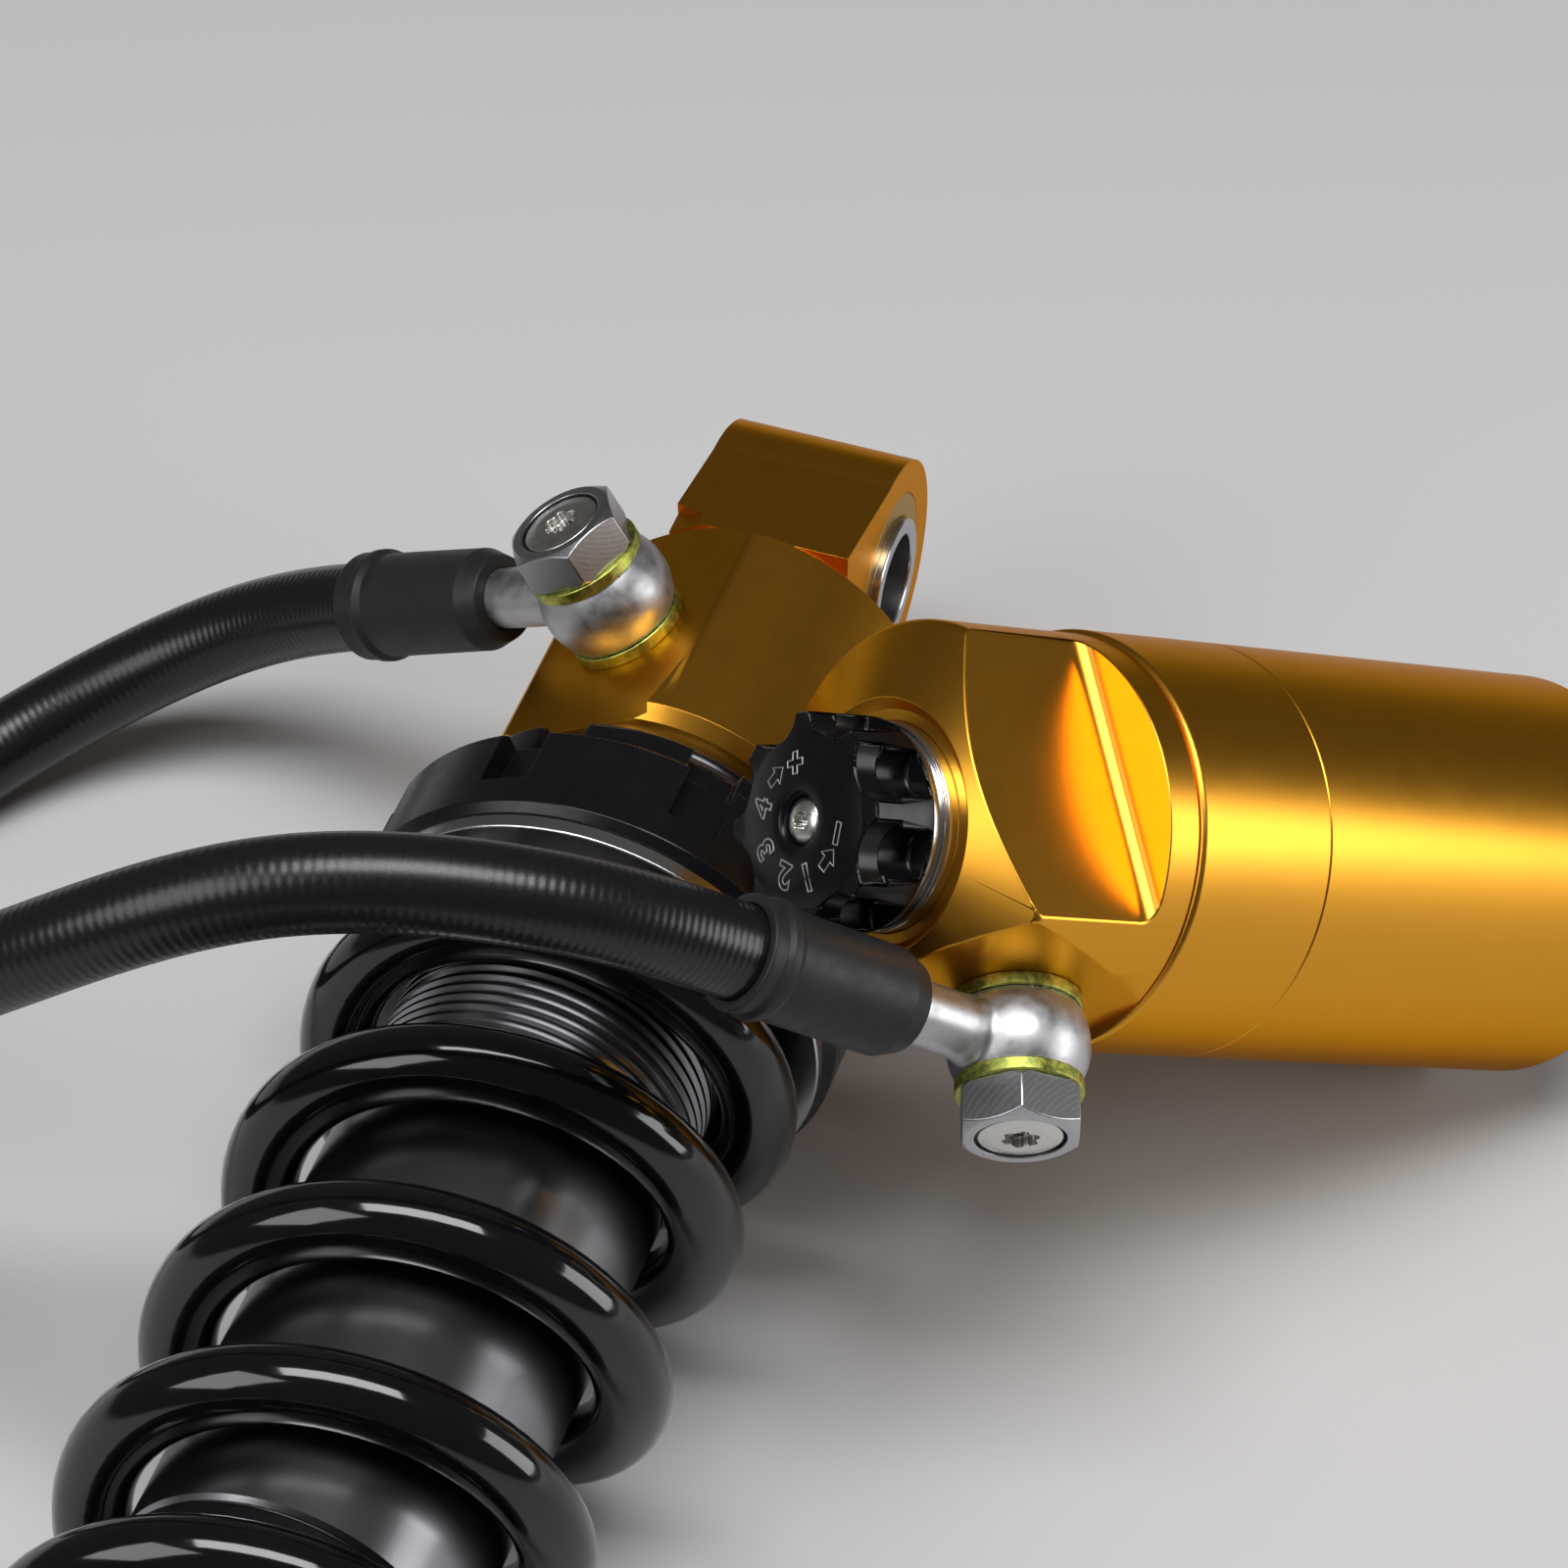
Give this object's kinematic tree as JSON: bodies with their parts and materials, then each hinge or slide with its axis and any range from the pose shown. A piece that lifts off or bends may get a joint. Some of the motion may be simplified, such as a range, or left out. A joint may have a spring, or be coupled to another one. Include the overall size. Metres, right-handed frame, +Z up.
{
  "type": "coil-over shock absorber with hose-fed gas reservoir",
  "caption": "Coil-over hydraulic damper with a remote gas reservoir on a braided hose, banjo fittings, damping knob, preload collar and two mounting eyes.",
  "frame": {"origin": "centre of the upper eye's bolt bore", "axes": "+X along the eyes' bores, -Y along the shock's axis towards the lower eye, +Z up with the part lying on its collar, lower seat and reservoir tail"},
  "size_m": [0.2159, 0.35, 0.0936],
  "materials": {
    "gold_anodised": "satin turned aluminium, gold anodised",
    "black_anodised": "black anodised aluminium, semi-gloss",
    "hard_coat": "hard anodised body tube, dark grey",
    "steel": "turned steel, bright",
    "bolt_steel": "milled steel hex with arc-shaped tool marks",
    "fitting_silver": "bead-blasted silver fitting",
    "washer_zinc": "yellow-green zinc plated washers",
    "spring_black": "gloss black powder coat",
    "hard_chrome": "ground and hard chromed rod",
    "bush_bronze": "bronze-filled bearing strip",
    "aluminium_plain": "plain turned aluminium",
    "seal_rubber": "black nitrile rubber",
    "cover_rubber": "moulded dark grey rubber sleeve",
    "hose_black": "black cover moulded over braid",
    "foam_yellow": "cellular polyurethane bump stop",
    "black_plastic": "moulded valve cap"
  },
  "bodies": {
    "root": {"shock_head": "gold_anodised", "upper_bush": "bush_bronze", "body_tube": "hard_coat", "seal_head": "black_anodised", "rod_seal": "seal_rubber", "rod_wiper": "seal_rubber", "thrust_washer": "steel", "spring": "spring_black", "reservoir_head": "gold_anodised", "reservoir_collar": "gold_anodised", "reservoir_tube": "gold_anodised", "head_seal": "seal_rubber", "end_cap": "black_anodised", "end_cap_seal": "seal_rubber", "end_circlip": "steel", "gas_valve": "steel", "valve_cap": "black_plastic", "adjuster_ring": "steel", "adjuster_body": "steel", "detent_balls": "steel", "reservoir_banjo": "fitting_silver", "reservoir_bolt": "bolt_steel", "reservoir_plug": "steel", "reservoir_washers": "washer_zinc", "reservoir_ferrule": "steel", "reservoir_cover": "cover_rubber", "shock_banjo": "fitting_silver", "shock_bolt": "bolt_steel", "shock_plug": "steel", "shock_washers": "washer_zinc", "shock_ferrule": "steel", "shock_cover": "cover_rubber", "hose": "hose_black"},
    "upper_sleeve": {"upper_sleeve": "steel"},
    "lock_ring": {"lock_ring": "black_anodised"},
    "preload_collar": {"preload_collar": "black_anodised"},
    "rod": {"rod": "hard_chrome", "piston": "steel", "piston_ring": "bush_bronze", "shims": "steel", "piston_nut": "steel", "topout_bumper": "seal_rubber", "bump_stop": "foam_yellow", "bump_washer": "steel", "lower_mount": "gold_anodised", "lower_bush": "bush_bronze", "lower_seat": "black_anodised", "seat_clip": "steel"},
    "lower_sleeve": {"lower_sleeve": "steel"},
    "rebound_wheel": {"rebound_wheel": "black_anodised"},
    "gas_piston": {"floating_piston": "aluminium_plain", "piston_seal": "seal_rubber", "piston_band": "bush_bronze"},
    "comp_knob": {"comp_knob": "black_anodised", "knob_screw": "steel", "adjuster_needle": "steel"}
  },
  "joints": [
    {"name": "rod_slide", "type": "slide", "parent": "root", "child": "rod", "axis": [0, 1, 0], "range_m": [0, 0.055], "stiffness_N_per_m": 18000, "springref_m": -0.008, "deforming": ["spring"]},
    {"name": "gas_piston_slide", "type": "slide", "parent": "root", "child": "gas_piston", "axis": [0.5809, 0.6339, -0.5105], "range_m": [0, 0.0068]},
    {"name": "upper_sleeve_turn", "type": "hinge", "parent": "root", "child": "upper_sleeve", "pos_m": [0, 0, 0], "axis": [1, 0, 0], "continuous": true},
    {"name": "lower_sleeve_turn", "type": "hinge", "parent": "rod", "child": "lower_sleeve", "pos_m": [0, -0.32, 0], "axis": [1, 0, 0], "continuous": true},
    {"name": "lock_ring_turn", "type": "hinge", "parent": "root", "child": "lock_ring", "pos_m": [0, -0.057, 0], "axis": [0, 1, 0], "range_deg": [-180, 0]},
    {"name": "preload_turn", "type": "hinge", "parent": "root", "child": "preload_collar", "pos_m": [0, -0.0675, 0], "axis": [0, 1, 0], "range_deg": [-180, 180]},
    {"name": "rebound_turn", "type": "hinge", "parent": "rod", "child": "rebound_wheel", "pos_m": [0, -0.2785, 0], "axis": [0, 1, 0], "range_deg": [-300, 300]},
    {"name": "comp_turn", "type": "hinge", "parent": "root", "child": "comp_knob", "pos_m": [0.03455, -0.07559, 0.04086], "axis": [-0.5809, -0.6339, 0.5105], "range_deg": [-300, 300]}
  ],
  "couplings": [
    {"joint": "gas_piston_slide", "follows": "rod_slide", "ratio": 0.1225}
  ]
}
